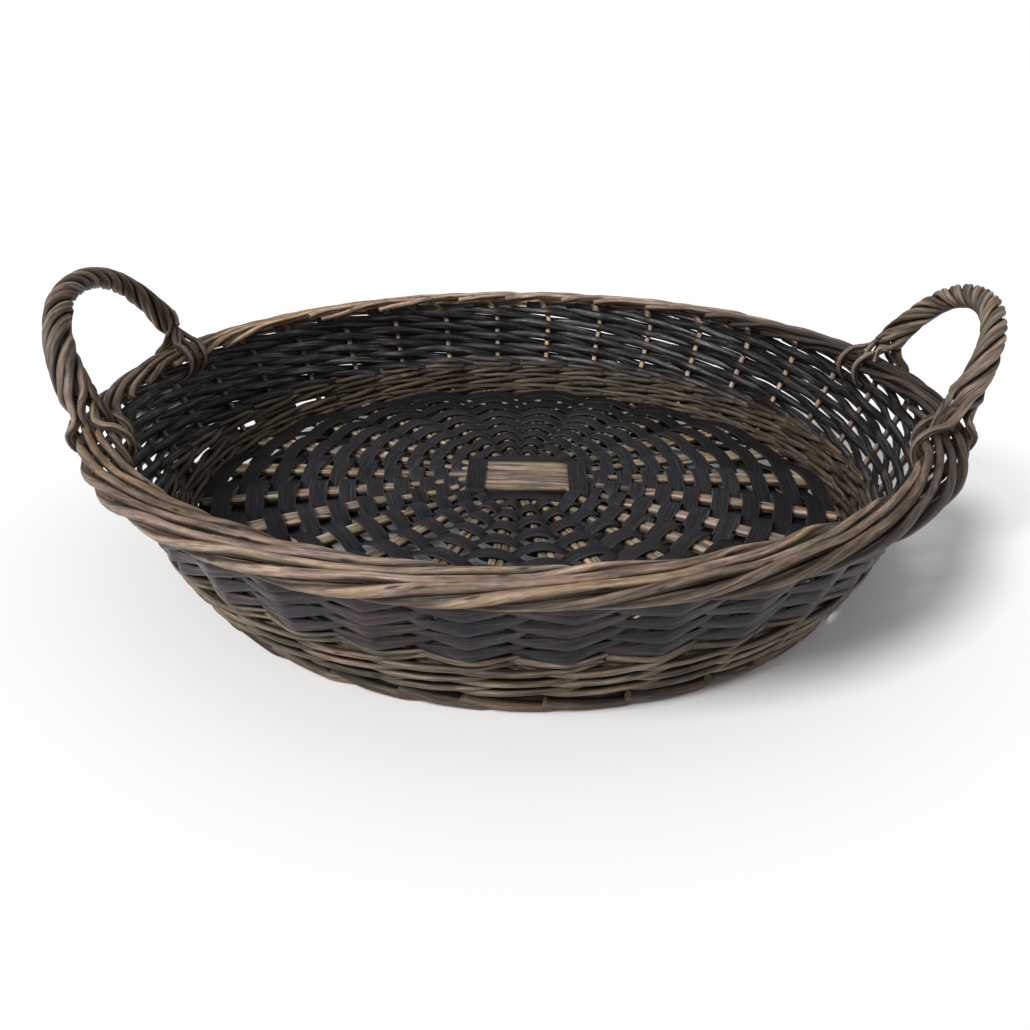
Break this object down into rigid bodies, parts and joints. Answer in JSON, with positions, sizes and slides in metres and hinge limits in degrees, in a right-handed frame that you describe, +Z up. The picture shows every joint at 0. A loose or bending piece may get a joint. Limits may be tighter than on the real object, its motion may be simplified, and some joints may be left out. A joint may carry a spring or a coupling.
{
  "type": "willow basket",
  "caption": "Round shallow willow tray basket: domed woven base on a foot ring, flared randed side, rolled border and two roped arch handles.",
  "frame": {"origin": "on the ground under the middle of the basket", "axes": "+Z up out of the bowl, +X towards the right handle, -Y towards the front"},
  "size_m": [0.5876, 0.5474, 0.1748],
  "materials": {
    "stake_willow": "satin",
    "wale_willow": "satin",
    "side_willow": "satin",
    "stick_willow": "matte",
    "chip_black": "satin",
    "foot_willow": "satin",
    "bow_willow": "matte",
    "handle_willow": "satin"
  },
  "bodies": {
    "root": {"stake_01": "stake_willow", "stake_02": "stake_willow", "stake_03": "stake_willow", "stake_04": "stake_willow", "stake_05": "stake_willow", "stake_06": "stake_willow", "stake_07": "stake_willow", "stake_08": "stake_willow", "stake_09": "stake_willow", "stake_10": "stake_willow", "stake_11": "stake_willow", "stake_12": "stake_willow", "stake_13": "stake_willow", "stake_14": "stake_willow", "stake_15": "stake_willow", "stake_16": "stake_willow", "stake_17": "stake_willow", "stake_18": "stake_willow", "stake_19": "stake_willow", "stake_20": "stake_willow", "stake_21": "stake_willow", "stake_22": "stake_willow", "stake_23": "stake_willow", "stake_24": "stake_willow", "stake_25": "stake_willow", "stake_26": "stake_willow", "stake_27": "stake_willow", "stake_28": "stake_willow", "stake_29": "stake_willow", "stake_30": "stake_willow", "stake_31": "stake_willow", "stake_32": "stake_willow", "stake_33": "stake_willow", "stake_34": "stake_willow", "base_stick_upper_1": "stick_willow", "base_stick_upper_2": "stick_willow", "base_stick_upper_3": "stick_willow", "base_stick_upper_4": "stick_willow", "base_stick_upper_5": "stick_willow", "base_stick_upper_6": "stick_willow", "base_stick_lower_1": "stick_willow", "base_stick_lower_2": "stick_willow", "base_stick_lower_3": "stick_willow", "base_stick_lower_4": "stick_willow", "base_stick_lower_5": "stick_willow", "base_stick_lower_6": "stick_willow", "base_chip_a": "chip_black", "base_chip_b": "chip_black", "foot_border": "foot_willow", "foot_wale": "wale_willow", "upsett_wale": "wale_willow", "side_band_a": "side_willow", "side_band_b": "side_willow", "handle_bow_left": "bow_willow", "handle_wrap_left_a": "handle_willow", "handle_wrap_left_b": "handle_willow", "handle_bow_right": "bow_willow", "handle_wrap_right_a": "handle_willow", "handle_wrap_right_b": "handle_willow"}
  },
  "joints": []
}
